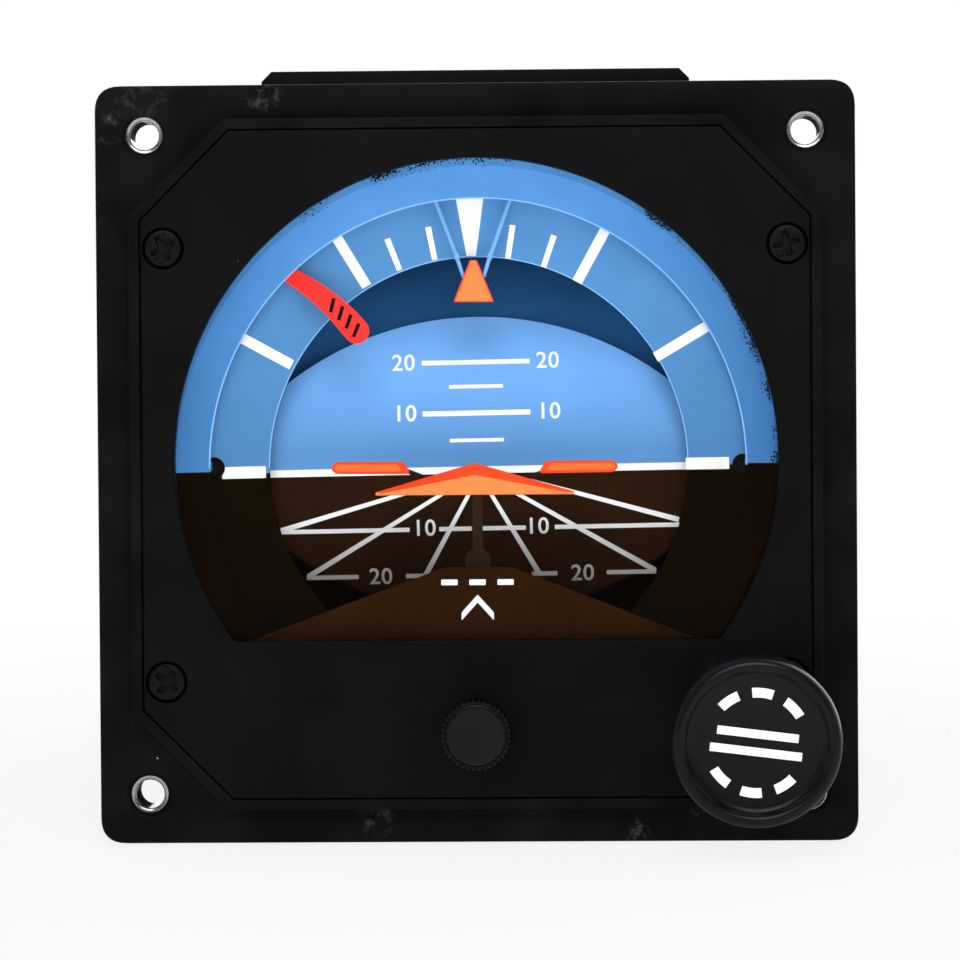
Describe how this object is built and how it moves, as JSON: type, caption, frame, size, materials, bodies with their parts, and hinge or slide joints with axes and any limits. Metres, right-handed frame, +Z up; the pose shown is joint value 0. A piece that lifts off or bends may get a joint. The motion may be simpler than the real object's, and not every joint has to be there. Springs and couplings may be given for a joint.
{
  "type": "attitude indicator",
  "caption": "Panel-mounted gyro attitude indicator with a square flange, long octagonal case, moving horizon drum and bank ring, adjustable airplane symbol and a pull-to-erect knob.",
  "frame": {"origin": "centre of the four mounting inserts, on the flange's panel face", "axes": "+Z up, -Y out of the panel towards the pilot, +X to the pilot's right"},
  "size_m": [0.0888, 0.2142, 0.091],
  "materials": {
    "black_paint": "satin black paint on cast aluminium",
    "bright_insert": "bright plated steel insert",
    "dark_screw": "blackened steel",
    "glass": "clear coated glass",
    "rubber": "black rubber",
    "sky_blue": "matt sky-blue paint",
    "navy": "matt navy paint",
    "ground_brown": "matt dark brown paint",
    "orange": "fluorescent orange paint",
    "red": "fluorescent red paint",
    "black_plastic": "moulded black plastic",
    "bare_aluminium": "machined aluminium casting",
    "steel": "ground steel",
    "brass": "machined brass",
    "gold_contact": "gold-plated contact",
    "plated_connector": "olive plated connector shell",
    "winding": "enamelled copper winding on a core",
    "board_green": "green glass-fibre board"
  },
  "bodies": {
    "case": {"flange_bezel": "black_paint", "mounting_inserts": "bright_insert", "front_plate": "black_paint", "front_plate_screws": "dark_screw", "window_glass": "glass", "glass_gasket": "rubber", "mask_ring": "sky_blue", "lower_mask": "ground_brown", "bank_pointer": "orange", "pointer_legs": "sky_blue", "slider_cover": "bare_aluminium", "adjust_bush": "brass", "flag_post": "steel", "flag_coil": "winding", "erect_bush": "brass", "top_cover": "black_paint", "circuit_board": "board_green", "case_shell": "black_paint", "front_seal": "rubber", "case_screws": "dark_screw", "small_screws": "dark_screw", "bearing_bulkhead": "bare_aluminium", "roll_bearings": "steel", "brush_block": "black_plastic", "rear_cover": "black_paint", "rear_seal": "rubber", "connector_shell": "plated_connector", "connector_insert": "black_plastic", "connector_pins": "gold_contact"},
    "roll_gimbal": {"bank_ring": "sky_blue", "bank_ring_screws": "dark_screw", "gimbal_front_ring": "bare_aluminium", "gimbal_screws": "steel", "roll_gimbal": "bare_aluminium", "pitch_bearings": "steel", "sky_backdrop": "navy", "roll_shaft": "steel", "caging_cam": "steel", "slip_rings": "brass"},
    "pitch_unit": {"horizon_drum": "sky_blue", "drum_brackets": "bare_aluminium", "gyro_housing": "bare_aluminium", "gyro_cover": "bare_aluminium", "gyro_cover_screws": "steel", "pitch_shafts": "steel", "motor_stator": "winding", "spin_bearings": "steel", "pendulous_weight": "brass"},
    "rotor": {"gyro_rotor": "brass", "rotor_shaft": "steel"},
    "flag": {"warning_flag": "red"},
    "adjuster": {"adjust_knob": "black_plastic", "adjust_shaft": "steel"},
    "symbol": {"airplane_delta": "orange", "airplane_wings": "orange", "symbol_slider": "ground_brown"},
    "erecting_rod": {"erect_knob": "black_plastic", "erect_rod": "steel", "caging_arm": "steel", "erect_spring": "steel"}
  },
  "joints": [
    {"name": "roll", "type": "hinge", "parent": "case", "child": "roll_gimbal", "pos_m": [0, 0.05, -0.0005], "axis": [0, -1, 0], "continuous": true},
    {"name": "pitch", "type": "hinge", "parent": "roll_gimbal", "child": "pitch_unit", "pos_m": [0, 0.05, -0.0005], "axis": [1, 0, 0], "range_deg": [-30, 30]},
    {"name": "rotor_spin", "type": "hinge", "parent": "pitch_unit", "child": "rotor", "pos_m": [0, 0.05, -0.0005], "axis": [0, 0, 1], "continuous": true},
    {"name": "flag_turn", "type": "hinge", "parent": "case", "child": "flag", "pos_m": [-0.0354, 0.0067, -0.0012], "axis": [0, -1, 0], "range_deg": [0, 27], "stiffness_Nm_per_rad": 0.001, "springref_deg": -22.92},
    {"name": "knob_turn", "type": "hinge", "parent": "case", "child": "adjuster", "pos_m": [0, -0.005, -0.031], "axis": [0, -1, 0], "range_deg": [-50, 50]},
    {"name": "symbol_slide", "type": "slide", "parent": "case", "child": "symbol", "axis": [0, 0, 1], "range_m": [-0.00218, 0.00218]},
    {"name": "erect_pull", "type": "slide", "parent": "case", "child": "erecting_rod", "axis": [0, -1, 0], "range_m": [0, 0.0065], "stiffness_N_per_m": 400, "springref_m": -0.008, "deforming": ["erect_spring"]}
  ],
  "couplings": [
    {"joint": "knob_turn", "follows": "symbol_slide", "rad_per_m": 400}
  ]
}
